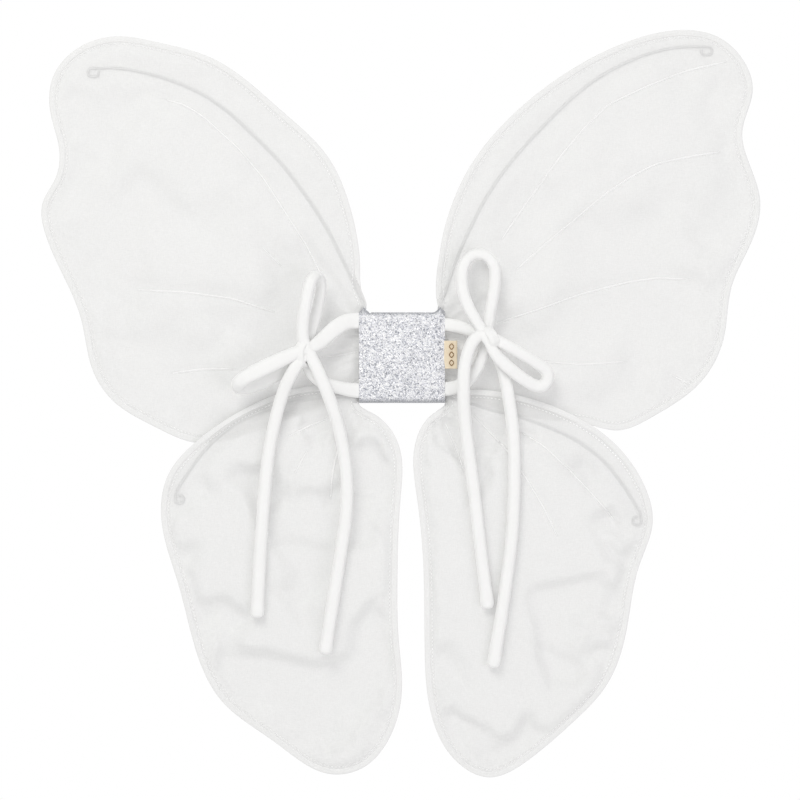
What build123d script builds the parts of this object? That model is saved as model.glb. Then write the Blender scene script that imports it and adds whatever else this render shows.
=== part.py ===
from build123d import *
import math
import os

# Child's dress-up fairy wings: a small glitter-covered block that sits between the shoulder
# blades, four voile wings on two bent wires, and two pairs of rouleau ties in bows.
# Millimetres.  +X is the wearer's left-to-right as seen from the tie side, +Z is up,
# and -Y points at the wearer's back.  The origin is the centre of the block's face
# that rests against the wearer.

os.makedirs("parts", exist_ok=True)

# ---------------------------------------------------------------- driving dimensions
block_width = 57.0
block_height = 61.4
block_side_radius = 4.0          # rounding of the block's back corners, about each fold line
fold_y = 7.5                     # depth of the two fold lines behind the wearer's face
cover_thickness = 0.8
cover_edge_radius = 2.6          # where the cover turns over the block's top and bottom

wire_radius = 0.7
pin_clearance = 0.05             # between a wire's straight pin and its casing
casing_wall = 1.0
wire_loop_radius = 2.7           # of the curl at each wire's end, to the middle of the wire
upper_loop_stretch = 1.3         # the upper curls are drawn out along the wire
wire_loop_gap = 0.7              # where the curl stops short of closing

voile_thickness = 0.4
layer_gap = 2.2                  # between a wing's two layers, where the wire lies
wing_step = 1.8                  # lower wings in front of, upper wings behind the fold line
seam_width = 3.5
seam_clear_x = 38.0              # no turned-in seam closer than this to the block's middle,
seam_clear_z = 52.0              # so that it stays clear of the block and of the wires

tie_radius = 4.0
label_width = 8.0
label_height = 18.6
label_thickness = 0.4
label_depth = 2.0                # over both leaves
label_rise = 1.4                 # of its lower edge, so that it sits a little above the middle

stitch_count = 16
stitch_length = 1.9
stitch_thickness = 0.6
stitch_rounding = 0.2

# ---------------------------------------------------------------- derived dimensions
fold_x = block_width / 2 - block_side_radius
block_depth = fold_y + block_side_radius
pin_bore_radius = wire_radius + pin_clearance
casing_radius = pin_bore_radius + casing_wall
half_height = block_height / 2
pin_top_z = half_height + 3.6    # above the block, where the wire starts to lean out
wire_exit_z = -27.3              # a lower wire leaves the block's side through a slot here
slot_clearance = 0.5
slot_bottom_z = wire_exit_z - wire_radius - slot_clearance
slot_top_z = -22.6
slot_front_y = 3.4
cover_hole_radius = wire_radius + slot_clearance
cover_hole_depth = 4 * cover_thickness
wing_thickness = 2 * voile_thickness + layer_gap

# ---------------------------------------------------------------- outlines and routes
# A wing's free edge in X and Z, from its lower root to its upper root.
wing_edges = {
    "upper_left": [
        (-30, -23), (-58, -35), (-98, -50), (-139, -57), (-166, -46), (-192, -30), (-207, -7),
        (-214, 25), (-223, 48), (-238, 82), (-240, 102), (-231, 120), (-229, 140), (-235, 165),
        (-232, 189), (-218, 205), (-191, 214), (-163, 210), (-128, 200), (-81, 165),
        (-49, 133), (-34, 98), (-28, 52), (-30, 36)],
    "upper_right": [
        (30, -23), (60, -34), (95, -42), (124, -45), (143, -49), (167, -40), (200, -16),
        (215, 14), (220, 47), (232, 74), (239, 104), (231, 131), (227, 150), (234, 178),
        (229, 196), (210, 214), (182, 218), (152, 211), (104, 186), (72, 160),
        (44, 125), (30, 92), (25, 56), (30, 36)],
    "lower_left": [
        (-30, -34), (-13, -42), (-2, -59), (-1, -95), (-3, -145), (-2, -190), (0, -222),
        (-9, -255), (-25, -273), (-46, -278), (-84, -257), (-121, -228), (-138, -193),
        (-149, -151), (-160, -110), (-156, -79), (-138, -57), (-104, -34), (-71, -21), (-30, -22)],
    "lower_right": [
        (30, -34), (17, -41), (8, -62), (10, -94), (14, -135), (15, -190), (20, -240),
        (34, -267), (58, -280), (82, -270), (112, -245), (136, -219), (150, -180), (158, -139),
        (167, -110), (162, -87), (141, -57), (104, -34), (65, -23), (30, -22)],
}

# A wire's upper leg and lower leg in X and Z, each from the block to its end loop.
wire_legs = {
    "left": {
        "upper": [(-27.5, 39), (-33, 51), (-40, 66), (-50, 86), (-62, 105), (-80, 129),
                  (-98, 147), (-115, 163), (-131, 174.5), (-149, 183), (-168, 189), (-188, 193)],
        "upper_loop": (-206, 189.8),
        "lower": [(-30, -27.3), (-44, -26), (-60, -27.5), (-77, -31), (-94, -36), (-109, -43),
                  (-122, -52.5), (-133, -64), (-142, -76)],
        "lower_loop": (-148.2, -95),
    },
    "right": {
        "upper": [(27.5, 39), (30.5, 48), (36, 65), (44.5, 84), (54.5, 104), (67, 123), (81, 140),
                  (98, 158), (114, 173.5), (130, 186), (146, 195), (164, 202.5), (183, 207)],
        "upper_loop": (203.3, 204.2),
        "lower": [(30, -27.3), (46, -31), (62, -36), (78, -39.5), (93, -45), (108, -51),
                  (122, -59), (135, -69.5), (146, -83)],
        "lower_loop": (156.6, -109.3),
    },
}

# Each bow's knot, and the strands that meet in it.  A strand's points run from the block
# or from the knot to its other end.  The end that is in the knot lies inside its lump.
bow_knots = {
    "left": (-64, -8, 3),
    "right": (57, -8, 12),
}
knot_size = (19, 17.5, 19)
knot_fillet = 6.5

tie_routes = {
    "left_upper_strap": [(-28.5, 0, 24), (-37, 0, 24), (-45, -3.5, 18.5), (-53, -8.2, 10.5),
                         (-61, -8.5, 5)],
    "left_lower_strap": [(-28.5, 0, -22.5), (-36.5, 0, -22.5), (-45, -2.6, -20), (-55, -3.2, -16.5),
                         (-61.5, -4.8, -9), (-63, -6.5, 0)],
    "left_upper_loop": [(-65, -12.2, 2), (-65, -12.4, 14), (-65, -14.4, 26.5),
                        (-62.8, -16.8, 38.5), (-60.3, -17.4, 49.5), (-56.6, -10.5, 54),
                        (-52.9, -3.6, 49.5), (-54.3, -3.2, 39), (-57, -3.3, 27),
                        (-60.5, -3.5, 15), (-61.5, -3.8, 4)],
    "left_side_loop": [(-63, -13.4, 5), (-72, -14.6, 1.6), (-83, -15.4, -3.6),
                       (-94, -15.7, -9), (-106.4, -15.8, -15.4), (-109.4, -9.5, -19.9),
                       (-105, -3.2, -21.2), (-94, -5, -17.6), (-84, -9.6, -13.6),
                       (-74.5, -12.4, -8.6), (-66, -12.2, -3.6)],
    "left_front_tail": [(-63, -11.5, 5), (-58.5, -12.4, -3), (-53, -12.4, -15), (-46.5, -11.2, -31),
                        (-41, -6.7, -49), (-37, -3.8, -72), (-36, -3.4, -98), (-40, -3.4, -127),
                        (-45.5, -3.4, -160), (-51, -3.4, -197)],
    "left_back_tail": [(-68, -5.5, 0), (-74, -3.4, -9.5), (-79.5, -3, -22), (-84, -3.4, -38),
                       (-88, -3.4, -60), (-91, -3.4, -87), (-93.5, -3.4, -122), (-96, -3.4, -173)],
    "right_upper_strap": [(28.5, 0, 21.5), (37, 0, 21.5), (46, -4.2, 17.5), (55, -7.8, 12.5)],
    "right_lower_strap": [(28.5, 0, -21), (36, 0, -21), (44.5, -2.8, -15.5), (50.5, -3.4, -7),
                          (54, -4.6, 2.5), (55, -6, 11)],
    "right_upper_loop": [(54.5, -12.2, 12), (50.8, -12.2, 21), (44.4, -11.6, 31), (40.2, -9.6, 42),
                         (39.2, -7.4, 52), (40.4, -5.6, 61), (46.4, -4.4, 68), (55, -4, 68),
                         (61.2, -3.6, 61.5), (62, -3.4, 51), (60.2, -3.4, 39), (57.8, -3.5, 27),
                         (57, -3.8, 16)],
    "right_side_loop": [(56, -12.4, 15), (65, -12.4, 9.5), (76, -12, 3.4), (86.2, -9.6, -2.8),
                        (96.3, -6.6, -9), (96.4, -5.4, -16.8), (89.8, -5.8, -20.6),
                        (79.2, -8.6, -14.4), (69, -12, -6.4), (58, -12.4, 4.4)],
    "right_front_tail": [(54.5, -11.9, 13), (47, -12.4, 10.5), (42.5, -12.4, 2), (40.7, -12, -10),
                         (40.5, -10.2, -26), (41.6, -6.2, -43), (44.4, -3.8, -65), (48.5, -3.4, -95),
                         (52, -3.4, -127), (56.7, -3.4, -167)],
    "right_back_tail": [(61, -5, 8), (65, -3.4, -1.5), (68, -3.1, -12.5), (71, -3.4, -29),
                        (74, -3.4, -51), (74.6, -3.4, -78), (73.5, -3.4, -115), (68, -3.4, -158),
                        (60, -3.4, -206)],
}


def finish(builder, name):
    builder.part.label = name
    export_step(builder.part, f"parts/{name}.step")


def corner_radii(points):
    """Radius of each tangent arc: as large as the two runs beside its corner allow."""
    radii = []
    for before, corner, after in zip(points, points[1:], points[2:]):
        run_in = Vector(*corner) - Vector(*before)
        run_out = Vector(*after) - Vector(*corner)
        half_turn = math.radians(run_in.get_angle(run_out)) / 2
        radii.append(0.45 * min(run_in.length, run_out.length) / math.tan(half_turn))
    return radii


def inset(points, distance):
    """The same open outline moved inwards; the wing lies to the left or right of its edge."""
    area = sum(a[0] * b[1] - b[0] * a[1] for a, b in zip(points, points[1:] + points[:1]))
    turn = math.copysign(1, area)
    moved = []
    for i, (x, z) in enumerate(points):
        x0, z0 = points[max(i - 1, 0)]
        x1, z1 = points[min(i + 1, len(points) - 1)]
        length = math.hypot(x1 - x0, z1 - z0)
        moved.append((x - turn * distance * (z1 - z0) / length,
                      z + turn * distance * (x1 - x0) / length))
    return moved


def across(y):
    """A plane facing the wearer at depth y; its sketches are in X and Z."""
    return Plane.XZ.offset(-y)


# ---------------------------------------------------------------- the block
def block_section(shrink):
    """The block's plan section: square corners towards the wearer, round ones behind."""
    x = block_width / 2 - shrink
    radius = block_side_radius - shrink
    with BuildSketch() as section:
        with BuildLine():
            Polyline((-x, fold_y), (-x, shrink), (x, shrink), (x, fold_y))
            CenterArc((fold_x, fold_y), radius, 0, 90)
            Line((fold_x, fold_y + radius), (-fold_x, fold_y + radius))
            CenterArc((-fold_x, fold_y), radius, 90, 90)
        make_face()
    return section.sketch


def wire_slots():
    """Room at each lower corner for the wire to leave the block and swing backwards."""
    width = block_side_radius + wire_radius + slot_clearance
    depth = block_depth - slot_front_y
    height = slot_top_z - slot_bottom_z
    for side in (-1, 1):
        inner_x = fold_x - wire_radius - slot_clearance
        with Locations((side * (inner_x + width / 2), slot_front_y + depth / 2,
                        slot_bottom_z + height / 2)):
            Box(width, depth, height, mode=Mode.SUBTRACT)


def block_body(shrink):
    """The whole block, or its inside when shrunk, rounded where the cover turns over."""
    with BuildPart() as body:
        with BuildSketch(Plane.XY.offset(-half_height + shrink)):
            add(block_section(shrink))
        extrude(amount=block_height - 2 * shrink)
        level_edges = body.edges().filter_by(Axis.X).group_by(Axis.Z)
        fillet(level_edges[0] + level_edges[-1], cover_edge_radius - shrink)
    return body.part


with BuildPart() as core_pad:
    add(block_body(cover_thickness))
    with Locations((-fold_x, fold_y, 0), (fold_x, fold_y, 0)):
        Cylinder(casing_radius, block_height, mode=Mode.SUBTRACT)
    wire_slots()
finish(core_pad, "core_pad")

with BuildPart() as glitter_cover:
    add(block_body(0))
    add(block_body(cover_thickness), mode=Mode.SUBTRACT)
    with Locations((-fold_x, fold_y, half_height), (fold_x, fold_y, half_height)):
        Cylinder(cover_hole_radius, cover_hole_depth, mode=Mode.SUBTRACT)
    wire_slots()
finish(glitter_cover, "glitter_cover")

casing_bottom_z = slot_top_z
casing_top_z = half_height - cover_edge_radius
for name, side in (("left", -1), ("right", 1)):
    with BuildPart() as casing:
        with BuildSketch(Plane.XY.offset(casing_bottom_z)):
            with Locations((side * fold_x, fold_y)):
                Circle(casing_radius)
                Circle(pin_bore_radius, mode=Mode.SUBTRACT)
        extrude(amount=casing_top_z - casing_bottom_z)
    finish(casing, f"{name}_wire_casing")

# The cover's closing seam, across the middle of the block's back: a row of ladder stitches.
stitch_pitch = 2 * fold_x / stitch_count
with BuildPart() as seam_stitches:
    with Locations((0, block_depth + stitch_thickness / 2, 0)):
        with GridLocations(stitch_pitch, 1, stitch_count, 1):
            Box(stitch_length, stitch_thickness, stitch_thickness)
    fillet(seam_stitches.edges().filter_by(Axis.X).group_by(Axis.Y)[-1], stitch_rounding)
finish(seam_stitches, "cover_seam_stitches")

# The fold-over label: one strip doubled back on itself, its two ends sewn in at the cover's edge.
label_x = block_width / 2
label_y = 1.2                    # the middle of the fold, behind the wearer's face
leaf_end = label_width - 2 * label_thickness
fold_radius = label_depth / 2
with BuildPart() as side_label:
    with BuildSketch(Plane.XY.offset(label_rise - label_height / 2)):
        with Locations((label_x + leaf_end / 2, label_y)):
            Rectangle(leaf_end, label_depth)
        with Locations((label_x + leaf_end, label_y)):
            Circle(fold_radius)
        with Locations((label_x + leaf_end / 2, label_y)):
            Rectangle(leaf_end, label_depth - 2 * label_thickness, mode=Mode.SUBTRACT)
        with Locations((label_x + leaf_end, label_y)):
            Circle(fold_radius - label_thickness, mode=Mode.SUBTRACT)
    extrude(amount=label_height)
finish(side_label, "side_label")


# ---------------------------------------------------------------- the wings
def wing_panel(edge):
    with BuildSketch() as panel:
        with BuildLine():
            Spline(*edge)
            Line(edge[-1], edge[0])
        make_face()
    return panel.sketch


for name, edge in wing_edges.items():
    middle = fold_y + (wing_step if name.startswith("upper") else -wing_step)
    front = middle - wing_thickness / 2
    layers = {
        "front_voile": front + voile_thickness,
        "back_voile": front + wing_thickness,
    }
    for layer, far_y in layers.items():
        with BuildPart() as voile:
            with BuildSketch(across(far_y)):
                add(wing_panel(edge))
            extrude(amount=voile_thickness)
        finish(voile, f"{name}_{layer}")
    # the seam allowances turned in between the two layers, all along the free edge
    with BuildPart() as seam:
        with BuildSketch(across(middle + layer_gap / 2)):
            add(wing_panel(edge))
            add(wing_panel(inset(edge, seam_width)), mode=Mode.SUBTRACT)
            Rectangle(2 * seam_clear_x, 2 * seam_clear_z, mode=Mode.SUBTRACT)
        extrude(amount=layer_gap)
    finish(seam, f"{name}_edge_seam")


def curl(centre, y, side, stretch, corners):
    """Corner points of a wire's end loop, in loop radii outwards and upwards of its centre."""
    r = wire_loop_radius
    return [(centre[0] + side * stretch * r * u, y, centre[1] + r * w) for u, w in corners]


def wire_route(legs, side):
    """One wire from its upper loop, down through the block as a straight pin, to its lower loop."""
    upper_y = fold_y + wing_step
    lower_y = fold_y - wing_step
    open_end = 1 - (2 * wire_radius + wire_loop_gap) / wire_loop_radius
    upper = curl(legs["upper_loop"], upper_y, side, upper_loop_stretch,
                 [(-1, open_end), (-1, -1), (1, -1), (1, 1)])
    upper += [(x, upper_y, z) for x, z in reversed(legs["upper"])]
    pin = [(side * fold_x, fold_y, pin_top_z), (side * fold_x, fold_y, wire_exit_z)]
    lower = [(x, lower_y, z) for x, z in legs["lower"]]
    lower += curl(legs["lower_loop"], lower_y, side, 1,
                  [(1, 1.6), (1, -1), (-1, -1), (-1, 1), (open_end, 1)])
    return upper + pin + lower


for name, side in (("left", -1), ("right", 1)):
    route = wire_route(wire_legs[name], side)
    with BuildPart() as wire:
        with BuildLine() as path:
            FilletPolyline(*route, radius=corner_radii(route))
        with BuildSketch(Plane(origin=path.line @ 0, z_dir=path.line % 0)):
            Circle(wire_radius)
        sweep()
    print(f"{name}_wing_wire: {path.wire().length:.0f} mm")
    finish(wire, f"{name}_wing_wire")

# ---------------------------------------------------------------- the ties
knots = {}
for name, centre in bow_knots.items():
    with BuildPart() as knot:
        with Locations(centre):
            Box(*knot_size)
        fillet(knot.edges(), knot_fillet)
    finish(knot, f"{name}_bow_knot")
    knots[name] = knot.part

for name, route in tie_routes.items():
    radii = corner_radii(route)
    with BuildPart() as tie:
        with BuildLine() as path:
            FilletPolyline(*route, radius=radii)
        with BuildSketch(Plane(origin=path.line @ 0, z_dir=path.line % 0)):
            Circle(tie_radius)
        sweep()
        tube_volume = tie.part.volume
        add(knots[name.split("_")[0]], mode=Mode.SUBTRACT)
    length = path.wire().length
    ratio = tube_volume / (math.pi * tie_radius**2 * length)
    print(f"{name}: {length:.0f} mm, volume ratio {ratio:.3f}, radii",
          " ".join(f"{r:.0f}" for r in radii), f"solids {len(tie.part.solids())}")
    finish(tie, name)
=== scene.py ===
import math

import bmesh
import bpy
import numpy as np
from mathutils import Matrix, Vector, noise
from mathutils.geometry import delaunay_2d_cdt


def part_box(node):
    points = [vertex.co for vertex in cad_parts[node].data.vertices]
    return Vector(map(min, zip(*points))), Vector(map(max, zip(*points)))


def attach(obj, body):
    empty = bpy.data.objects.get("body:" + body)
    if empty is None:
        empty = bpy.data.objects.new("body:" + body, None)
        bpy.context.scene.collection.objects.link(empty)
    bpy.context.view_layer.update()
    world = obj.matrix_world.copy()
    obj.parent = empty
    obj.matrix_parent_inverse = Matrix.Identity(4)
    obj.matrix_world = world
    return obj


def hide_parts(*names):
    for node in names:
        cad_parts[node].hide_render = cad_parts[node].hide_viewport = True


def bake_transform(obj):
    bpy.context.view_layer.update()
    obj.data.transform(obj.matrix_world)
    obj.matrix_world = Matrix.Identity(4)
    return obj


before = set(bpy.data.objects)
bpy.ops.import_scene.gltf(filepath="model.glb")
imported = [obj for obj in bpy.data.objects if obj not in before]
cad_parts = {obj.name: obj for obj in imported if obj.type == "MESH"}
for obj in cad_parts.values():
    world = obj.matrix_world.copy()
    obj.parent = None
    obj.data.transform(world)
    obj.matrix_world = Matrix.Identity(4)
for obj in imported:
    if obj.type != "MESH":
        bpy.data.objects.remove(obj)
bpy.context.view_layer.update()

# The fairy wings' visual model.  Shapes are worked out in millimetres in the frame's own axes:
# +X to the right seen from the tie side, -Y towards the wearer, +Z up.
MM = 0.001
scene = bpy.context.scene


# ---------------------------------------------------------------- small helpers
def smooth(value, low, high):
    """0 below low, 1 above high, and a smooth step between."""
    t = np.clip((np.asarray(value, float) - low) / (high - low), 0, 1)
    return t * t * (3 - 2 * t)


def unit(vectors):
    vectors = np.asarray(vectors, float)
    return vectors / np.maximum(np.linalg.norm(vectors, axis=-1, keepdims=True), 1e-12)


def wander(points, scale, seed):
    """Smooth noise, about -1 to 1, at points in millimetres, with features of that scale."""
    shift = Vector((seed * 7.31, seed * 3.17, 0.5))
    places = [Vector((*(np.array(p) / scale), 0)[:3]) for p in np.atleast_2d(points)]
    return np.array([noise.noise(place + shift) for place in places])


def spread_out(*axes):
    """Triples from three arrays or numbers that are spread over each other."""
    return np.stack(np.broadcast_arrays(*axes), -1)


def stood_up(flat, y):
    """Points in space from pairs of x and z, and their depths."""
    return np.stack([flat[:, 0], y, flat[:, 1]], 1)


def soft_limit(value, low, high):
    """Presses values between two limits without a sharp corner."""
    middle, half = (low + high) / 2, (high - low) / 2
    return middle + half * np.tanh((value - middle) / half)


def skin(rings, ring_closed=True, path_closed=False, capped=False):
    """Vertices and faces of a surface through rings of points."""
    rings = np.asarray(rings, float)
    count, sides = rings.shape[:2]
    faces = []
    for i in range(count if path_closed else count - 1):
        j = (i + 1) % count
        for k in range(sides if ring_closed else sides - 1):
            m = (k + 1) % sides
            faces.append((i * sides + k, i * sides + m, j * sides + m, j * sides + k))
    if capped:
        faces.append(tuple(range(sides)))
        faces.append(tuple((count - 1) * sides + k for k in range(sides)))
    return rings.reshape(-1, 3), faces


def piece(name, vertices, faces, material, body=None, cloth=None, closed=True):
    """A mesh object from points in millimetres. cloth is each point's place on the flat cloth."""
    mesh = bpy.data.meshes.new(name)
    mesh.from_pydata((np.asarray(vertices, float) * MM).tolist(), [], [tuple(map(int, f)) for f in faces])
    mesh.update()
    flat = np.asarray(vertices if cloth is None else cloth, float) * MM
    layer = mesh.attributes.new("cloth", "FLOAT_VECTOR", "POINT")
    layer.data.foreach_set("vector", flat.astype(np.float32).ravel())
    if closed:
        shape = bmesh.new()
        shape.from_mesh(mesh)
        bmesh.ops.recalc_face_normals(shape, faces=shape.faces)
        shape.to_mesh(mesh)
        shape.free()
    mesh.polygons.foreach_set("use_smooth", [True] * len(mesh.polygons))
    mesh.materials.append(material)
    made = bpy.data.objects.new(name, mesh)
    scene.collection.objects.link(made)
    if body:
        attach(made, body)
    return made


# ---------------------------------------------------------------- camera, lights, floor
FOLD_Y = 7.5        # depth of the lines that the two sides fold about, in millimetres
CAMERA_BACK = 1.8
VIEW_WIDTH = 0.5333  # what the camera sees at the fold lines' depth
VIEW_X, VIEW_Z = -1.33, -28.67
SENSOR = 36.0

lens = bpy.data.cameras.new("camera")
lens.sensor_width = SENSOR
lens.lens = SENSOR * (CAMERA_BACK + FOLD_Y * MM) / VIEW_WIDTH
camera = bpy.data.objects.new("camera", lens)
camera.location = (VIEW_X * MM, -CAMERA_BACK, VIEW_Z * MM)
camera.rotation_euler = (math.pi / 2, 0, 0)
scene.collection.objects.link(camera)
scene.camera = camera
scene.view_settings.view_transform = "Standard"

WORLD_SEEN = 1.0
WORLD_LIGHT = 0.62
world = bpy.data.worlds.new("studio")
scene.world = world
world.use_nodes = True
sky = world.node_tree
sky.nodes.clear()
seen = sky.nodes.new("ShaderNodeBackground")
seen.inputs["Strength"].default_value = WORLD_SEEN
lit = sky.nodes.new("ShaderNodeBackground")
lit.inputs["Strength"].default_value = WORLD_LIGHT
for shade in (seen, lit):
    shade.inputs["Color"].default_value = (1, 1, 1, 1)
ray = sky.nodes.new("ShaderNodeLightPath")
choose = sky.nodes.new("ShaderNodeMixShader")
sky_out = sky.nodes.new("ShaderNodeOutputWorld")
sky.links.new(ray.outputs["Is Camera Ray"], choose.inputs[0])
sky.links.new(lit.outputs[0], choose.inputs[1])
sky.links.new(seen.outputs[0], choose.inputs[2])
sky.links.new(choose.outputs[0], sky_out.inputs["Surface"])


def lamp(name, place, size, power, colour):
    """A square soft light that faces the middle of the object."""
    data = bpy.data.lights.new(name, "AREA")
    data.size = size
    data.energy = power
    data.color = colour
    made = bpy.data.objects.new(name, data)
    made.location = place
    made.rotation_euler = (-Vector(place)).to_track_quat("-Z", "Y").to_euler()
    scene.collection.objects.link(made)


WARM, COOL = (1.0, 1.0, 0.97), (0.98, 0.95, 1.0)
lamp("key", (-0.55, -1.5, 1.15), 0.8, 12.5, WARM)
lamp("fill", (0.95, -1.6, -0.45), 1.0, 6.5, COOL)
lamp("behind_key", (0.6, 1.6, 1.1), 0.8, 12.0, WARM)
lamp("behind_fill", (-0.95, 1.5, 0.1), 1.0, 5.5, COOL)


# ---------------------------------------------------------------- materials
def material(name, **values):
    """A Principled material, with plain values set on the shader's own sockets."""
    made = bpy.data.materials.new(name)
    made.use_nodes = True
    shader = made.node_tree.nodes["Principled BSDF"]
    for key, value in values.items():
        shader.inputs[key.replace("_", " ")].default_value = value
    return made, made.node_tree, shader


def node(tree, kind, sockets=None, **settings):
    made = tree.nodes.new("ShaderNode" + kind)
    for key, value in settings.items():
        setattr(made, key, value)
    for key, value in (sockets or {}).items():
        if isinstance(value, bpy.types.NodeSocket):
            tree.links.new(value, made.inputs[key])
        else:
            made.inputs[key].default_value = value
    return made


def calc(tree, operation, a, b=0.0):
    return node(tree, "Math", {0: a, 1: b}, operation=operation).outputs[0]


def grain(tree, coords, sizes, detail=2.0, rough=0.5):
    """Noise with features of those sizes in millimetres along each axis."""
    scaled = node(tree, "Mapping", {0: coords, 3: [1 / (s * MM) for s in sizes]})
    return node(tree, "TexNoise", {"Vector": scaled.outputs[0], "Scale": 1.0, "Detail": detail,
                                   "Roughness": rough}).outputs[0]


def spread(tree, value, low, high, to_low, to_high):
    return node(tree, "MapRange", {0: value, 1: low, 2: high, 3: to_low, 4: to_high}).outputs[0]


def blend_colours(tree, factor, first, second):
    """A colour between two, by a factor."""
    made = node(tree, "Mix", {0: factor}, data_type="RGBA")
    for socket, value in ((made.inputs[6], first), (made.inputs[7], second)):
        if isinstance(value, bpy.types.NodeSocket):
            tree.links.new(value, socket)
        else:
            socket.default_value = (*value, 1)
    return made.outputs[2]


def threads(tree, coords, pitch):
    """A plain weave of that pitch in millimetres: high where a thread lies on top."""
    parts = node(tree, "SeparateXYZ", {0: coords})
    turn = 2 * math.pi / (pitch * MM)
    across = calc(tree, "SINE", calc(tree, "MULTIPLY", parts.outputs[0], turn))
    along = calc(tree, "SINE", calc(tree, "MULTIPLY", parts.outputs[1], turn))
    return calc(tree, "MULTIPLY_ADD", calc(tree, "MULTIPLY", across, along), 0.5)


def raise_surface(tree, shader, height, strength, distance):
    bump = node(tree, "Bump", {"Strength": strength, "Distance": distance * MM, "Height": height})
    tree.links.new(bump.outputs[0], shader.inputs["Normal"])


def cloth_coords(tree):
    return node(tree, "Attribute", attribute_name="cloth").outputs["Vector"]


def woven(name, pale, dark, pitch, alpha=None, roughness=0.85, sheen=0.15, bump=0.35,
          object_space=False, slub=0.4):
    """Plain woven cloth: threads, slubs both ways, and slow uneven shading."""
    made, tree, shader = material(name, Roughness=roughness, Sheen_Weight=sheen, Specular_IOR_Level=0.25)
    coords = node(tree, "TexCoord").outputs["Object"] if object_space else cloth_coords(tree)
    warp = grain(tree, coords, (slub, slub * 8, 3.0))
    weft = grain(tree, coords, (slub * 8, slub, 3.0))
    cloudy = grain(tree, coords, (16.0, 16.0, 16.0), 3.0)
    slubs = calc(tree, "MULTIPLY", calc(tree, "ADD", warp, weft), 0.5)
    weave = threads(tree, coords, pitch)
    tone = calc(tree, "ADD", calc(tree, "MULTIPLY", slubs, 0.7), calc(tree, "MULTIPLY", cloudy, 0.3))
    shade = spread(tree, tone, 0.34, 0.66, 0.0, 1.0)
    tree.links.new(blend_colours(tree, shade, dark, pale), shader.inputs["Base Color"])
    rough = spread(tree, slubs, 0.3, 0.7, roughness - 0.1, min(1.0, roughness + 0.1))
    tree.links.new(rough, shader.inputs["Roughness"])
    if alpha:
        solid = calc(tree, "ADD", calc(tree, "MULTIPLY", slubs, 0.75), calc(tree, "MULTIPLY", weave, 0.25))
        tree.links.new(spread(tree, solid, 0.3, 0.65, alpha[0], alpha[1]), shader.inputs["Alpha"])
    height = calc(tree, "ADD", calc(tree, "MULTIPLY", weave, 0.5), slubs)
    raise_surface(tree, shader, height, bump, 0.25)
    return made


voile = woven("voile", (0.905, 0.905, 0.90), (0.875, 0.875, 0.87), 0.42, alpha=(0.61, 0.69),
              bump=0.12, slub=0.32)
hem_cloth = woven("voile_hem", (0.885, 0.885, 0.88), (0.85, 0.85, 0.845), 0.42, bump=0.25, slub=0.32)
tuck_cloth = woven("voile_tuck", (0.95, 0.95, 0.945), (0.92, 0.92, 0.915), 0.42, bump=0.2)
tie_cloth = woven("tie_cotton", (0.95, 0.95, 0.945), (0.92, 0.92, 0.91), 0.5, roughness=0.8,
                  sheen=1.0, slub=0.5)
felt = woven("pad_felt", (0.72, 0.72, 0.71), (0.55, 0.55, 0.55), 0.9, roughness=0.95, bump=0.8)
tape = woven("casing_tape", (0.82, 0.82, 0.80), (0.68, 0.68, 0.66), 0.8, object_space=True)
label_cloth = woven("label_tape", (0.95, 0.83, 0.65), (0.86, 0.72, 0.52), 0.45, roughness=0.7, bump=0.6)
gold_thread = woven("label_thread", (0.36, 0.17, 0.02), (0.20, 0.09, 0.01), 0.4, roughness=0.45, bump=0.6)
sewing = woven("sewing_thread", (0.96, 0.96, 0.955), (0.92, 0.92, 0.915), 0.3, roughness=0.6)
seam_thread = woven("seam_thread", (0.70, 0.71, 0.74), (0.52, 0.53, 0.56), 0.3, roughness=0.5,
                    object_space=True)


def steel_wire():
    """Drawn wire: a painted highlight on its front and back, painted shade on its sides, fine lines and a
    slightly uneven polish.
    """
    made, tree, shader = material("wire_steel", Metallic=0.35)
    coords = node(tree, "TexCoord").outputs["Object"]
    drawn = grain(tree, coords, (0.3, 0.3, 0.3), 4.0)
    dull = grain(tree, coords, (9.0, 9.0, 9.0), 3.0)
    # Painted light: faces towards the front and back are coloured pale as a painted highlight, and the sides
    # dark as painted shade.
    facing = node(tree, "SeparateXYZ", {0: node(tree, "TexCoord").outputs["Normal"]}).outputs[1]
    painted_highlight = spread(tree, calc(tree, "ABSOLUTE", facing), 0.74, 0.95, 0.0, 1.0)
    shade = blend_colours(tree, dull, (0.05, 0.052, 0.056), (0.09, 0.092, 0.098))
    tree.links.new(blend_colours(tree, painted_highlight, shade, (0.96, 0.96, 0.97)), shader.inputs["Base Color"])
    tree.links.new(spread(tree, drawn, 0.3, 0.7, 0.25, 0.5), shader.inputs["Roughness"])
    raise_surface(tree, shader, drawn, 0.2, 0.05)
    return made


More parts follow.
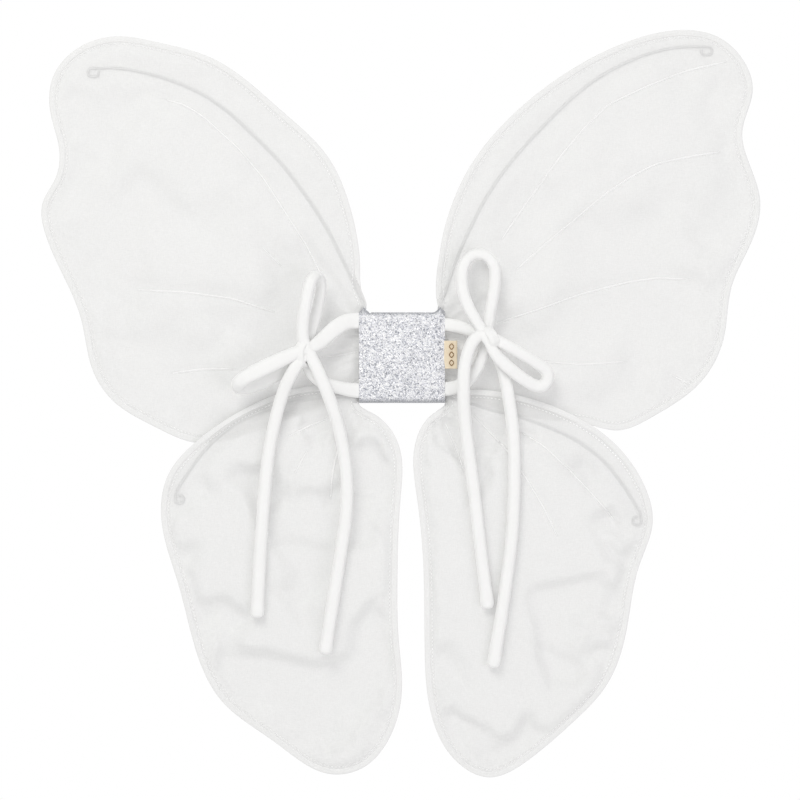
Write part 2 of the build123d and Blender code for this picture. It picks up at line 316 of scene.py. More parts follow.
def glitter_fabric():
    """Silver glitter: small flakes, each with its own tone and tilt, on a grey ground."""
    made, tree, shader = material("silver_glitter", Metallic=0.55, Specular_IOR_Level=0.6)
    coords = cloth_coords(tree)
    small = node(tree, "Mapping", {0: coords, 3: [1 / MM] * 3}).outputs[0]
    flakes = node(tree, "TexVoronoi", {"Vector": small, "Scale": 1.5})
    sparks = node(tree, "TexVoronoi", {"Vector": small, "Scale": 0.8})
    tone = node(tree, "SeparateColor", {0: flakes.outputs["Color"]})
    spark = node(tree, "SeparateColor", {0: sparks.outputs["Color"]})
    cloudy = grain(tree, coords, (7.0, 7.0, 7.0), 3.0)
    level = calc(tree, "MULTIPLY", tone.outputs[0], 0.66)
    for part, share in ((spark.outputs[1], 0.32), (cloudy, 0.16)):
        level = calc(tree, "ADD", level, calc(tree, "MULTIPLY", part, share))
    stops = node(tree, "ValToRGB", {0: level})
    ramp = stops.color_ramp
    ramp.elements[0].position = 0.16
    ramp.elements[0].color = (0.22, 0.23, 0.26, 1)
    ramp.elements[1].position = 0.95
    for place, colour in ((0.38, (0.58, 0.59, 0.63, 1)), (0.58, (0.82, 0.82, 0.85, 1)), (0.74, (1, 1, 1, 1))):
        ramp.elements.new(place).color = colour
    bluish = calc(tree, "MULTIPLY", tone.outputs[2], 0.2)
    tint = blend_colours(tree, bluish, stops.outputs[0], (0.78, 0.81, 0.93))
    # Painted shade: the fabric is coloured darker where it turns over the block's top and bottom.
    height_z = node(tree, "SeparateXYZ", {0: node(tree, "TexCoord").outputs["Object"]}).outputs[2]
    painted_fold_shade = spread(tree, calc(tree, "ABSOLUTE", height_z), 27.2 * MM, 29.6 * MM, 0.0, 0.72)
    tree.links.new(blend_colours(tree, painted_fold_shade, tint, (0.40, 0.41, 0.44)), shader.inputs["Base Color"])
    tree.links.new(spread(tree, tone.outputs[1], 0, 1, 0.22, 0.6), shader.inputs["Roughness"])
    height = calc(tree, "ADD", tone.outputs[2], flakes.outputs["Distance"])
    raise_surface(tree, shader, height, 0.85, 0.25)
    return made


wire_steel = steel_wire()
glitter = glitter_fabric()


def floor_material():
    made, tree, shader = material("floor_paper", Roughness=0.9)
    coords = node(tree, "TexCoord").outputs["Object"]
    mottle = grain(tree, coords, (60.0, 60.0, 60.0), 4.0)
    paper = blend_colours(tree, mottle, (0.86, 0.86, 0.86), (0.90, 0.90, 0.90))
    tree.links.new(paper, shader.inputs["Base Color"])
    return made


FLOOR_DROP = 0.62
FLOOR_RADIUS = 2.1
turns = np.linspace(0, 2 * math.pi, 96, endpoint=False)
floor_ring = [(FLOOR_RADIUS * math.cos(t), FLOOR_RADIUS * math.sin(t), -FLOOR_DROP) for t in turns]
floor_mesh = bpy.data.meshes.new("floor")
floor_mesh.from_pydata(floor_ring, [], [tuple(range(len(floor_ring)))])
floor_mesh.materials.append(floor_material())
floor = bpy.data.objects.new("floor", floor_mesh)
scene.collection.objects.link(floor)


# ---------------------------------------------------------------- the ties
# Each tie is one rouleau from the block through its bow to its free end.  A point is x, y, z,
# then the tube's width across the cloth and its thickness.
SIDES = 28
TIP = 3.2           # how far from its free end a tie starts to round off

tie_routes = {
    "left_lower_tie": [
        (-24, 2.6, -22.6, 9.6, 2.6), (-28.5, 2.4, -22.6, 9.8, 3.0), (-36.5, 0.4, -21.6, 9.4, 4.4),
        (-45, -2.2, -19.6, 8.6, 6.0), (-55, -3.2, -16.5, 8.4, 6.8), (-61.5, -4.6, -9, 8.0, 6.6),
        (-62.6, -5.0, -2, 7.4, 6.0), (-61.5, -3.8, 6, 7.4, 6.4),
        (-60.5, -3.5, 15, 7.6, 6.8), (-57, -3.3, 27, 7.6, 7.2), (-54.3, -3.2, 39, 7.4, 7.4),
        (-52.9, -3.6, 49.5, 7.2, 7.6), (-56.6, -10.5, 54.4, 7.6, 7.0), (-60.3, -17.2, 49.5, 7.8, 7.8),
        (-62.8, -16.8, 38.5, 8.0, 8.0), (-65, -14.8, 26.5, 8.2, 7.8), (-65.6, -13, 15.5, 7.8, 7.4),
        (-64.6, -12.8, 8, 7.8, 6.6), (-58.8, -12.6, -2.4, 8.2, 6.8),
        (-53, -12.4, -15, 8.3, 7.6), (-46.5, -11.2, -31, 8.3, 7.8), (-41, -6.7, -49, 8.2, 8.0),
        (-37, -3.8, -72, 8.2, 7.8), (-36, -3.4, -98, 8.3, 7.6), (-40, -3.4, -127, 8.2, 7.8),
        (-45.5, -3.4, -160, 8.3, 7.6), (-50.2, -3.4, -191, 8.5, 7.8),
        (-50.6, -3.4, -194, 8.5, 7.8), (-51, -3.4, -197, 8.5, 7.8)],
    "left_upper_tie": [
        (-24, 2.6, 24, 10.2, 2.6), (-28.5, 2.4, 24, 10.4, 3.0), (-37, 0.2, 23.8, 10.6, 3.8),
        (-45, -3.5, 18.5, 10.4, 4.4), (-53, -8.2, 10.5, 9.8, 5.0), (-59, -11.6, 6, 8.2, 5.6),
        (-64, -13.6, 4.4, 7.6, 6.6),
        (-72, -14.6, 1.6, 9.0, 6.4), (-83, -15.4, -3.6, 10.2, 6.0), (-94, -15.7, -9, 10.4, 6.0),
        (-106.4, -15.8, -15.4, 9.6, 6.4), (-109.4, -9.5, -19.9, 8.4, 7.0), (-105, -3.4, -21.2, 8.8, 6.4),
        (-94, -3.8, -17.4, 9.0, 5.8), (-84, -4.6, -12.8, 8.8, 5.4), (-74.5, -5.4, -7.8, 8.0, 5.0),
        (-66, -5.4, -2.0, 7.0, 4.6), (-60.5, -6.2, 2.6, 6.6, 4.6), (-60.5, -10.4, 4.6, 6.6, 4.6),
        (-64.6, -13.0, 1.4, 7.2, 5.0), (-69.2, -13.8, -5.4, 8.2, 5.6), (-73.8, -12.2, -12.8, 8.3, 6.4),
        (-78.6, -8.6, -23, 8.3, 7.2), (-83.4, -5.0, -39, 8.2, 7.8), (-88, -3.4, -60, 8.2, 7.6),
        (-91, -3.4, -87, 8.3, 7.8), (-93.5, -3.4, -122, 8.2, 7.6), (-95.8, -3.4, -167, 8.5, 7.8),
        (-96, -3.4, -170, 8.5, 7.8), (-96, -3.4, -173, 8.5, 7.8)],
    "right_upper_tie": [
        (24, 2.6, 21.8, 8.4, 2.6), (28.5, 2.4, 21.8, 8.6, 3.0), (37, 0.2, 20.4, 8.4, 4.6),
        (46, -4.2, 17.2, 8.2, 6.4), (53, -8.6, 14.4, 7.8, 6.6), (57.5, -11.8, 13.2, 7.4, 6.4),
        (65, -12.4, 9.5, 7.8, 7.0), (76, -12, 3.4, 7.9, 7.2), (86.2, -9.6, -2.8, 7.9, 7.4),
        (96.3, -6.6, -9, 7.9, 7.4), (96.4, -5.4, -16.8, 8.2, 7.2), (89.8, -5.8, -20.6, 8.2, 7.2),
        (79.2, -8.6, -14.4, 8.4, 7.2), (69, -12, -6.4, 8.4, 6.8), (60.5, -13.4, 2.2, 7.6, 6.4),
        (56.8, -14.2, 10.2, 6.8, 5.8), (53.0, -13.9, 15.2, 7.4, 6.2), (47, -12.6, 11.5, 8.0, 7.0),
        (42.9, -12.4, 2, 8.2, 7.4), (40.7, -12, -10, 8.2, 7.6), (40.5, -10.2, -26, 8.2, 7.8),
        (41.6, -6.2, -43, 8.2, 7.8), (44.4, -3.8, -65, 8.2, 7.6), (48.5, -3.4, -95, 8.3, 7.6),
        (52, -3.4, -127, 8.2, 7.8), (56.2, -3.4, -161, 8.5, 7.8),
        (56.5, -3.4, -164, 8.5, 7.8), (56.7, -3.4, -167, 8.5, 7.8)],
    "right_lower_tie": [
        (24, 2.6, -21.4, 9.4, 2.6), (28.5, 2.4, -21.4, 9.6, 3.0), (36, 0.2, -20.4, 8.8, 4.4),
        (44.5, -2.6, -15.5, 8.2, 6.4), (50.5, -3.4, -7, 7.8, 6.6), (54, -4.2, 2.5, 7.2, 6.2),
        (56, -4.2, 10, 6.8, 5.8), (57.2, -3.8, 17, 7.0, 6.2), (57.8, -3.5, 27, 7.6, 7.0),
        (60.2, -3.4, 39, 7.8, 7.4),
        (62, -3.4, 51, 7.8, 7.6), (61.2, -3.6, 61.5, 7.6, 7.6), (55, -4, 68, 7.4, 7.6),
        (46.4, -4.4, 68, 7.4, 7.6), (40.4, -5.6, 61, 7.6, 7.6), (39.2, -7.4, 52, 7.8, 7.4),
        (40.2, -9.6, 42, 7.8, 7.4), (44.4, -11.6, 31, 7.8, 7.2), (50.2, -12.4, 21.5, 7.2, 6.6),
        (55.0, -11.4, 13.4, 6.6, 5.8), (59.4, -8.2, 6.4, 6.8, 5.8),
        (64.2, -4.6, -1.5, 8.0, 6.8), (68, -3.2, -12.5, 8.2, 7.4), (71, -3.4, -29, 8.2, 7.8),
        (74, -3.4, -51, 8.2, 7.6), (74.6, -3.4, -78, 8.3, 7.8), (73.5, -3.4, -115, 8.2, 7.6),
        (68, -3.4, -158, 8.2, 7.8), (61.2, -3.4, -200, 8.5, 7.8),
        (60.6, -3.4, -203, 8.5, 7.8), (60, -3.4, -206, 8.5, 7.8)],
}
POINTS_A_SPAN = 14
SEAM_ANGLE = 0.55


def spline_line(name, route):
    """The points that a NURBS spline through that route gives, in millimetres."""
    curve = bpy.data.curves.new(name + "_line", "CURVE")
    curve.dimensions = "3D"
    curve.resolution_u = POINTS_A_SPAN
    spline = curve.splines.new("NURBS")
    spline.points.add(len(route) - 1)
    for control, place in zip(spline.points, route):
        control.co = (place[0] * MM, place[1] * MM, place[2] * MM, 1)
    spline.order_u = 3
    spline.use_endpoint_u = True
    holder = bpy.data.objects.new(name + "_line", curve)
    mesh = bpy.data.meshes.new_from_object(holder)
    line = np.array([v.co for v in mesh.vertices]) / MM
    bpy.data.meshes.remove(mesh)
    bpy.data.objects.remove(holder)
    bpy.data.curves.remove(curve)
    keep = np.append(True, np.linalg.norm(np.diff(line, axis=0), axis=1) > 1e-4)
    return line[keep]


def along(line):
    """Each point's distance from the line's start."""
    return np.append(0, np.cumsum(np.linalg.norm(np.diff(line, axis=0), axis=1)))


def round_angles(sides):
    return np.linspace(0, 2 * math.pi, sides, endpoint=False)


def tube_frames(line):
    """Unit vectors across the line and out of the cloth, that never flip over."""
    tangent = unit(np.gradient(line, axis=0))
    out = np.zeros_like(line)
    towards_wearer = np.array((0.0, -1.0, 0.0))
    last = towards_wearer
    for i, t in enumerate(tangent):
        carried = last - t * np.dot(last, t)
        aim = towards_wearer - t * np.dot(towards_wearer, t)
        weight = np.linalg.norm(aim) ** 3
        if np.dot(aim, carried) < 0:
            aim = -aim
        last = unit(unit(carried) * 0.35 + unit(aim) * weight)
        last = unit(last - t * np.dot(last, t))
        out[i] = last
    return np.cross(tangent, out), out


def rings_round(line, across, out, wide, deep):
    """Rings of points round a line, from each point's reach across it and out of the cloth."""
    return line[:, None, :] + across[:, None, :] * wide[..., None] + out[:, None, :] * deep[..., None]


def tube_rings(line, widths, depths):
    """Rings of a soft flattened tube round a line, a little squarer than an ellipse."""
    across, out = tube_frames(line)
    angle = round_angles(SIDES)
    c, s = np.cos(angle), np.sin(angle)
    power = 2.4
    flat = (np.abs(c) ** power + np.abs(s) ** power) ** (-1 / power)
    wide, deep = widths[:, None] / 2 * (c * flat), depths[:, None] / 2 * (s * flat)
    return rings_round(line, across, out, wide, deep), angle


def strand_sizes(line, route):
    """The width and thickness at each of the line's points, from those in its route."""
    spans = len(route) - 2
    stations = np.concatenate(([0], np.arange(spans) + 0.5, [spans]))
    where = np.linspace(0, spans, len(line))
    return (np.interp(where, stations, [place[i] for place in route]) for i in (3, 4))


def make_tie(name, route, seed):
    """A cloth tube along the route, with a seam, small creases and a rounded free end."""
    line = spline_line(name, route)
    widths, depths = strand_sizes(line, route)
    run = along(line)
    left = run[-1] - run
    tip = np.clip(1 - (1 - np.clip(left / TIP, 0, 1)) ** 2.6, 0.01, 1) ** (1 / 2.6)
    swell = 1 + 0.05 * np.exp(-((left - 5.5) / 3.0) ** 2)
    widths = widths * tip * swell
    depths = depths * tip * swell
    rings, angle = tube_rings(line, widths, depths)
    tangent = unit(np.gradient(line, axis=0))
    bend = np.linalg.norm(np.gradient(tangent, axis=0), axis=1) / np.maximum(np.gradient(run), 1e-6)
    centre = rings.mean(axis=1, keepdims=True)
    spoke = rings - centre
    creases = np.zeros(rings.shape[:2])
    for k, a in enumerate(angle):
        # Noise over the tube's surface: the line's stretch, the radius, the features' size, the seed.
        ripple, slow, folds = (
            wander(spread_out(run * stretch, radius * math.cos(a), radius * math.sin(a)), size, seed + more)
            for stretch, radius, size, more in ((1.0, 8.8, 6.0, 0), (1.0, 5, 17.0, 3), (2.2, 3, 5.5, 5)))
        creases[:, k] = 0.022 * ripple + 0.035 * slow + np.clip(bend * 6.0, 0, 1) * 0.07 * folds
        # The rouleau's own seam.
        creases[:, k] -= 0.05 * math.exp(-((a - SEAM_ANGLE) / 0.16) ** 2)
    rings = centre + spoke * (1 + creases[..., None])
    vertices, faces = skin(rings, capped=True)
    cloth = spread_out(angle[None, :] * 4.0, run[:, None], 0.0).reshape(-1, 3)
    made = piece(name, vertices, faces, tie_cloth, "block", cloth=cloth)
    return made, line, run[-1]


ties = {}
for order, (name, route) in enumerate(tie_routes.items()):
    ties[name] = make_tie(name, route, order + 1)

# The knots: a strand that wraps the crossing, over a tucked-in core.
knot_wraps = {
    "left_bow_knot": [
        [(-61.0, -4.5, 8.5, 6.4, 3.6), (-62.6, -10.6, 10.2, 6.6, 3.2), (-65.8, -15.4, 8.8, 6.8, 2.8),
         (-68.2, -16.2, 3.4, 7.0, 2.6), (-67.6, -15.2, -2.4, 6.8, 2.8), (-65.4, -10.4, -6.2, 6.4, 3.2),
         (-63.0, -4.6, -5.6, 6.2, 3.6)],
        [(-66.5, -3.4, 6.0, 8.0, 5.0), (-65.2, -6.6, 2.6, 9.0, 7.0), (-64.0, -7.6, -1.6, 9.0, 7.0),
         (-63.2, -5.6, -5.4, 7.6, 5.0)],
    ],
    "right_bow_knot": [
        [(53.6, -5.0, 18.2, 6.0, 3.8), (54.6, -11.8, 18.6, 6.4, 3.6), (57.4, -16.6, 16.6, 6.8, 3.2),
         (60.2, -17.6, 12.4, 7.0, 3.2), (61.0, -15.8, 8.0, 6.8, 3.4), (60.2, -10.6, 5.4, 6.4, 3.8),
         (58.6, -5.0, 5.6, 6.0, 3.8)],
        [(55.2, -4.6, 16.0, 7.4, 5.0), (56.4, -8.0, 13.0, 8.6, 7.0), (57.6, -8.2, 9.2, 8.6, 7.0),
         (58.6, -5.4, 6.0, 7.2, 5.0)],
    ],
}
knot_middles = {"left_bow_knot": (-64.5, -8, 2), "right_bow_knot": (57.4, -9, 12)}


def make_knot(name, strands, seed):
    """The strands of one knot, pleated where they lie outside, and slightly lumpy."""
    corners, faces, flats = [], [], []
    for part, strand in enumerate(strands):
        line = spline_line(name, strand)
        widths, depths = strand_sizes(line, strand)
        run = along(line)
        ends = np.sqrt(np.clip(1 - (1 - np.clip(np.minimum(run, run[-1] - run) / 2.0, 0, 1)) ** 2, 0.05, 1))
        # A wrap lies flat against the bundle, so its thin side faces the knot's middle.
        tangent = unit(np.gradient(line, axis=0))
        middle = np.array(knot_middles[name])
        out = unit(line - middle)
        out = unit(out - tangent * np.sum(out * tangent, axis=1, keepdims=True))
        across = np.cross(tangent, out)
        angle = round_angles(SIDES)
        c, s = np.cos(angle), np.sin(angle)
        pleats = 1 + 0.16 * np.sin(5 * angle + 0.6 * seed) * (s > 0) + 0.05 * np.sin(3 * angle)
        wide, deep = (widths * ends / 2)[:, None] * c, (depths * ends / 2)[:, None] * s * pleats
        points, quads = skin(rings_round(line, across, out, wide, deep), capped=True)
        start = sum(len(p) for p in corners)
        corners.append(points)
        faces += [tuple(i + start for i in quad) for quad in quads]
        flats.append(spread_out(angle[None, :] * 3.5, run[:, None], 20.0 * part).reshape(-1, 3))
    corners = np.concatenate(corners)
    lumps = wander(corners, 3.2, seed) * 0.22 + wander(corners, 7.0, seed + 2) * 0.35
    middle = corners.mean(axis=0)
    corners = corners + unit(corners - middle) * lumps[:, None]
    flats = np.concatenate(flats)
    return piece(name + "_wrap", corners, faces, tie_cloth, "block", cloth=flats)


knots = {}
for order, (name, strands) in enumerate(knot_wraps.items()):
    knots[name] = make_knot(name, strands, order + 11)
tie_plan = {
    "left_lower_tie": ("left_lower_strap", "left_upper_loop", "left_front_tail", []),
    "left_upper_tie": ("left_upper_strap", "left_side_loop", "left_back_tail", ["left_bow_knot"]),
    "right_upper_tie": ("right_upper_strap", "right_side_loop", "right_front_tail", ["right_bow_knot"]),
    "right_lower_tie": ("right_lower_strap", "right_upper_loop", "right_back_tail", []),
}
for name, (strap, loop, tail, held) in tie_plan.items():
    tie, line, length = ties[name]
    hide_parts(strap, loop, tail)
    for knot in held:
        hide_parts(knot)
    leaves = [c * MM for c in line[0]]
    [knots[knot] for knot in held]


# ---------------------------------------------------------------- the wings
# A wing is two layers of voile, sewn together at a hem and along the vein tucks, with the wire
# between them, and gathered into the block at its root.  plane is its depth, slack how much too
# big its cloth is for the simulation, amount how far the simulated folds stand up, and swells the
# height of its long ripples.  root is where it enters the block; root_before and root_after are
# the free edge's points next to it, inside and beside the block.
wings = {
    "upper_left": {
        "plane": 9.3, "body": "left_wings", "seed": 3, "slack": 0.012, "amount": 1.4, "swells": 0.8,
        "root": [(-26.5, -18), (-24.8, 30)],
        "root_after": [(-23.6, 33.4), (-23.7, 36.5), (-25.2, 40.4), (-27.2, 45.0)],
        "root_before": [(-40.4, -27.4), (-33.0, -22.2)],
        "veins": [[(-161, 173), (-145, 168), (-132, 160), (-109, 139), (-93, 120), (-77, 95), (-64, 75),
                   (-54, 55)],
                  [(-93, 73), (-80, 60)],
                  [(-177, 45), (-143, 43), (-113, 39), (-85, 30)],
                  [(-155, -11), (-134, -8), (-111, -8)],
                  [(-29, 4), (-40, 1.4), (-55, 0)]]},
    "upper_right": {
        "plane": 9.3, "body": "right_wings", "seed": 5, "slack": 0.012, "amount": 1.4, "swells": 0.8,
        "root": [(25.0, 31), (26.5, -18)],
        "root_after": [(33.0, -22.4)],
        "root_before": [(24.6, 66), (23.6, 60), (22.9, 53), (22.6, 47.3), (22.7, 41.5), (23.3, 36.5),
                        (24.2, 33.2)],
        "veins": [[(216, 197), (189, 191), (160, 179), (137, 168), (121, 152), (105, 133), (84, 104),
                   (66, 78)],
                  [(213, 137), (189, 133), (170, 129), (154, 121), (136, 109), (118, 94), (95, 75),
                   (76, 58)],
                  [(193, 52), (170, 53), (150, 50), (119, 42), (89, 31), (64, 23)],
                  [(95, -3), (119, -5), (150, -3)],
                  [(180, -12), (194, -19)]]},
    "lower_left": {
        "plane": 5.7, "body": "left_wings", "seed": 8, "slack": 0.02, "amount": 3.8, "swells": 2.2,
        "root": [(-26.8, -29.2), (-26.8, -23.2)],
        "root_after": [(-30.0, -21.9)],
        "root_before": [(-24.4, -35.0), (-27.4, -33.2), (-29.2, -31.2)],
        "veins": [[(-50, -41), (-63, -46.5), (-76, -53)], [(-63, -62), (-71, -77)],
                  [(-40, -50), (-46, -76), (-48, -96)]]},
    "lower_right": {
        "plane": 5.7, "body": "right_wings", "seed": 12, "slack": 0.02, "amount": 4.8, "swells": 2.8,
        "root": [(26.8, -23.2), (26.8, -29.2)],
        "root_after": [(29.2, -31.2), (27.4, -33.2), (24.4, -35.0)],
        "root_before": [(30.0, -21.9)],
        "veins": [[(77, -49), (94, -59), (111, -75), (128, -93), (145, -112)],
                  [(48, -39), (69, -61), (84, -83), (94, -100), (103, -119)],
                  [(29, -44), (36, -60), (41, -76)]]},
}
ROOT_LINE = 30.0        # the x at which the CAD's voile stops, beside the block
HEM = 3.9
HEM_ROWS = (1.9, 3.5, 5.0)
RIDGE_ROWS = (0.0, 0.45, 0.75, 1.15, 1.7, 2.7)
HEM_GAP, OPEN_GAP = 0.22, 0.88      # a layer's distance from the wing's plane in the hem, and what it gains
WIRE_GAP, RIDGE = 0.78, 0.27        # the same beside the wire, and over it
MOST_LIFT = 3.0
NEAREST_WEARER = 1.1
SLOT = (4.2, 10.4)                  # the depths between which the cloth enters the block

# Each wing's wire, from the block to the end of its curl, as x and z: the CAD wire's corners.
wire_routes = {
    "upper_left": [
        (-24.5, 26), (-24.5, 34.3), (-27.5, 39), (-33, 51), (-40, 66), (-50, 86), (-62, 105), (-80, 129),
        (-98, 147), (-115, 163), (-131, 174.5), (-149, 183), (-168, 189), (-188, 193), (-209.5, 192.5),
        (-209.5, 187.1), (-202.5, 187.1), (-202.5, 190.4)],
    "lower_left": [
        (-24.5, -27.3), (-30, -27.3), (-44, -26), (-60, -27.5), (-77, -31), (-94, -36), (-109, -43),
        (-122, -52.5), (-133, -64), (-142, -76), (-150.9, -90.7), (-150.9, -97.7), (-145.5, -97.7),
        (-145.5, -92.3), (-148.8, -92.3)],
    "upper_right": [
        (24.5, 26), (24.5, 34.3), (27.5, 39), (30.5, 48), (36, 65), (44.5, 84), (54.5, 104), (67, 123),
        (81, 140), (98, 158), (114, 173.5), (130, 186), (146, 195), (164, 202.5), (183, 207),
        (206.8, 206.9), (206.8, 201.5), (199.8, 201.5), (199.8, 204.8)],
    "lower_right": [
        (24.5, -27.3), (30, -27.3), (46, -31), (62, -36), (78, -39.5), (93, -45), (108, -51), (122, -59),
        (135, -69.5), (146, -83), (159.3, -105), (159.3, -112), (153.9, -112), (153.9, -106.6),
        (157.2, -106.6)],
}


def cad_outline(name):
    """The edge of a flat CAD node's wearer side, as x and z in millimetres."""
    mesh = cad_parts[name].data
    number, places, edges = {}, [], set()
    ids = []
    for v in mesh.vertices:
        key = tuple(round(c * 1e6) for c in v.co)
        if key not in number:
            number[key] = len(places)
            places.append((v.co.x / MM, v.co.z / MM))
        ids.append(number[key])
    for face in mesh.polygons:
        if face.normal.y < -0.9:
            loop = [ids[i] for i in face.vertices]
            edges.update(zip(loop, loop[1:] + loop[:1]))
    after = {a: b for a, b in edges if (b, a) not in edges}
    chain = [min(after)]
    while after[chain[-1]] != chain[0]:
        chain.append(after[chain[-1]])
    return np.array([places[i] for i in chain])


def evenly(points, step, closed=False):
    """Points about a step apart along a line."""
    points = np.asarray(points, float)
    if closed:
        points = np.vstack([points, points[:1]])
    run = along(points)
    count = max(2, int(round(run[-1] / step)) + 1)
    at = np.linspace(0, run[-1], count)
    made = np.stack([np.interp(at, run, points[:, i]) for i in range(points.shape[1])], 1)
    return made[:-1] if closed else made


def distance(points, line, closed=False):
    """Each point's distance to a line."""
    a = np.asarray(line, float)
    b = np.roll(a, -1, axis=0) if closed else a[1:]
    a = a if closed else a[:-1]
    best = np.full(len(points), 1e9)
    for start, end in zip(a, b):
        d = end - start
        t = np.clip((points - start) @ d / max(d @ d, 1e-12), 0, 1)
        best = np.minimum(best, np.linalg.norm(points - start - t[:, None] * d, axis=1))
    return best


def inside(points, outline):
    """Whether each point lies inside an outline."""
    x, y = points[:, 0], points[:, 1]
    result = np.zeros(len(points), bool)
    for (x1, y1), (x2, y2) in zip(outline, np.roll(outline, 1, axis=0)):
        crosses = ((y1 > y) != (y2 > y)) & (x < (x2 - x1) * (y - y1) / (y2 - y1 + 1e-12) + x1)
        result ^= crosses
    return result


def wing_edge(name, wing):
    """The free edge, from one end of the root round to the other."""
    outline = cad_outline(name + "_front_voile")
    clipped = np.abs(np.abs(outline[:, 0]) - ROOT_LINE) < 0.02
    first = np.flatnonzero(clipped & ~np.roll(clipped, 1))[0]
    outline = np.roll(outline, -first, axis=0)
    rest = outline[~np.roll(clipped, -first)]
    # The CAD outline and the root run the same way round.
    before, after = np.array(wing["root_before"]), np.array(wing["root_after"])
    start = 0
    while np.linalg.norm(rest[start] - after[-1]) > np.linalg.norm(rest[start + 1] - after[-1]):
        start += 1
    stop = start + int(np.argmin(np.linalg.norm(rest[start:] - before[0], axis=1)))
    return np.vstack([[wing["root"][1]], after, rest[start + 1:stop], before, [wing["root"][0]]])


def cubic_sample(field, low, cell, points):
    """A smooth reading of a grid of heights (a cubic B-spline)."""
    place = (points - low) / cell
    base = np.floor(place).astype(int)
    part = place - base
    weights = []
    for t in (part[:, 0], part[:, 1]):
        weights.append([(1 - t) ** 3 / 6, (3 * t ** 3 - 6 * t ** 2 + 4) / 6,
                        (-3 * t ** 3 + 3 * t ** 2 + 3 * t + 1) / 6, t ** 3 / 6])
    total = np.zeros(len(points))
    for i in range(4):
        for j in range(4):
            x = np.clip(base[:, 0] + i - 1, 0, field.shape[0] - 1)
            z = np.clip(base[:, 1] + j - 1, 0, field.shape[1] - 1)
            total += weights[0][i] * weights[1][j] * field[x, z]
    return total


CELL = 4.0
SIM_FRAMES = 30


def draped_field(outline, wire, slack, seed):
    """Heights, in millimetres on a grid, of cloth cut a little too big for its hem."""
    low = outline.min(axis=0) - 2 * CELL
    size = np.ceil((outline.max(axis=0) + 2 * CELL - low) / CELL).astype(int) + 1
    xs, zs = (low[i] + CELL * np.arange(size[i]) for i in (0, 1))
    gx, gz = np.meshgrid(xs, zs, indexing="ij")
    flat = np.stack([gx.ravel(), gz.ravel()], 1)
    within = inside(flat, outline).reshape(size)
    field = np.zeros(size)
    number = np.full(size, -1)
    number[within] = np.arange(within.sum())
    start = flat[within.ravel()]
    wobble = wander(start, 34.0, seed) * 0.9
    square = [number[:-1, :-1], number[1:, :-1], number[1:, 1:], number[:-1, 1:]]
    quads = np.stack([s.ravel() for s in square], 1)
    quads = quads[(quads >= 0).all(axis=1)]
    uses = np.bincount(quads.ravel(), minlength=len(start))
    mesh = bpy.data.meshes.new("drape")
    mesh.from_pydata((stood_up(start, wobble) * MM).tolist(), [], quads.tolist())
    cloth = bpy.data.objects.new("drape", mesh)
    scene.collection.objects.link(cloth)
    held = cloth.vertex_groups.new(name="held")
    near_wire = distance(start, wire) < 3.2
    held.add(np.flatnonzero((uses < 4) | near_wire).tolist(), 1.0, "REPLACE")
    solver = cloth.modifiers.new("cloth", "CLOTH")
    s = solver.settings
    s.quality = 6
    s.mass = 0.05
    s.tension_stiffness = s.compression_stiffness = 15
    s.shear_stiffness = 5
    s.bending_stiffness = 2
    s.air_damping = 2
    s.vertex_group_mass = "held"
    s.shrink_min = -slack
    s.effector_weights.gravity = 0
    solver.collision_settings.use_collision = False
    solver.collision_settings.use_self_collision = False
    solver.point_cache.frame_start = 1
    solver.point_cache.frame_end = SIM_FRAMES + 2
    for step in range(1, SIM_FRAMES + 1):
        scene.frame_set(step)
    settled = cloth.evaluated_get(bpy.context.evaluated_depsgraph_get()).to_mesh()
    heights = np.array([v.co.y for v in settled.vertices]) / MM
    bpy.data.objects.remove(cloth)
    bpy.data.meshes.remove(mesh)
    scene.frame_set(1)
    field[within] = heights
    return field, low


for name, wing in wings.items():
    # The straight root closes the free edge into the wing's outline.
    wing["free"] = wing_edge(name, wing)
    route = [(x, 0.0, z) for x, z in wire_routes[name]]
    wing["wire"] = spline_line(name, route)[:, [0, 2]]
for name, wing in wings.items():
    level, side = name.split("_")
    wing["upper"] = level == "upper"
    wing["other"] = wings[("lower_" if wing["upper"] else "upper_") + side]["free"]
    wing["common"], wing["low"] = draped_field(wing["free"], wing["wire"], wing["slack"], wing["seed"])
    wing["puff"], _ = draped_field(wing["free"], wing["wire"], wing["slack"] * 0.6, wing["seed"] + 40)


def gathers(wing, points):
    """Folds that fan out of the root."""
    a, b = np.array(wing["root"])
    root = distance(points, [a, b])
    side = 1 if a[0] > 0 else -1
    if wing["upper"]:
        centre, folds, reach, amount = np.array((side * 8.0, 8.0)), 26, 78.0, 0.65
    else:
        centre, folds, reach, amount = np.array((side * 21.0, -23.0)), 15, 66.0, 1.25
    angle = np.arctan2(points[:, 1] - centre[1], (points[:, 0] - centre[0]) * side)
    shift = wander(points, 30.0, wing["seed"] + 60) * 1.2
    wave = np.sin(folds * angle + shift * 2.2) + 0.45 * np.sin(folds * 1.7 * angle + 1.3 + shift)
    return amount * wave * smooth(root, 0.5, 9) * (1 - smooth(root, 10, reach)) ** 1.6


